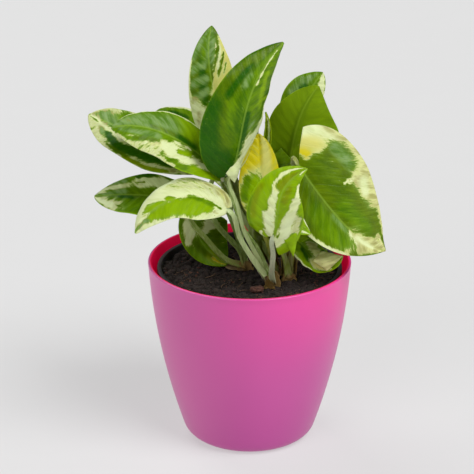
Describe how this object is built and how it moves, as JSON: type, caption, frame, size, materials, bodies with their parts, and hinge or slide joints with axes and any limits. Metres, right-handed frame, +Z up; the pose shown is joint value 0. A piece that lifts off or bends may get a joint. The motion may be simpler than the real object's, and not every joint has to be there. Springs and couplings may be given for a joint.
{
  "type": "potted trailing houseplant",
  "caption": "Young pothos with pointed cream and green variegated leaves on slender stalks, rooted in dark soil in a round tapered planter with a nursery pot inside.",
  "frame": {"origin": "middle of the planter's flat foot, at the level that it rests on", "axes": "+Z up, the front of the plant towards -Y"},
  "size_m": [0.155, 0.1122, 0.2286],
  "materials": {
    "variegated_leaf": "glossy fresh leaf, green with cream margins and flecks",
    "deep_green_leaf": "glossy fresh leaf, deep green with a cream edge",
    "leaf_underside": "matte leaf underside, yellow green",
    "yellow_leaf": "soft yellow young leaf",
    "stalk": "smooth pale green stalk, pinkish at the foot",
    "planter_plastic": "satin magenta pink",
    "nursery_plastic": "dark grey, slightly rough",
    "potting_mix": "dark brown, crumbly and fibrous",
    "bark": "rough brown bark"
  },
  "bodies": {
    "root": {"leaf_front_tall": "deep_green_leaf", "leaf_back_tall": "variegated_leaf", "leaf_left_front": "variegated_leaf", "leaf_left_low": "variegated_leaf", "leaf_left_outer": "variegated_leaf", "leaf_left_arched": "variegated_leaf", "leaf_left_rear": "variegated_leaf", "leaf_small_centre": "variegated_leaf", "leaf_yellow": "yellow_leaf", "leaf_right_big": "variegated_leaf", "leaf_right_back": "leaf_underside", "leaf_right_rear": "variegated_leaf", "leaf_pot_left": "variegated_leaf", "leaf_low_right": "variegated_leaf", "leaf_under_tip": "variegated_leaf", "leaf_furled": "variegated_leaf", "leaf_rear_high": "variegated_leaf", "leaf_rear_right": "variegated_leaf", "leaf_rear_left": "variegated_leaf", "leaf_rear_low": "variegated_leaf", "planter": "planter_plastic", "nursery_pot": "nursery_plastic", "stem_front": "stalk", "stem_right": "stalk", "stem_middle": "stalk", "stem_left": "stalk", "soil": "potting_mix", "bark_chip": "bark"}
  },
  "joints": []
}
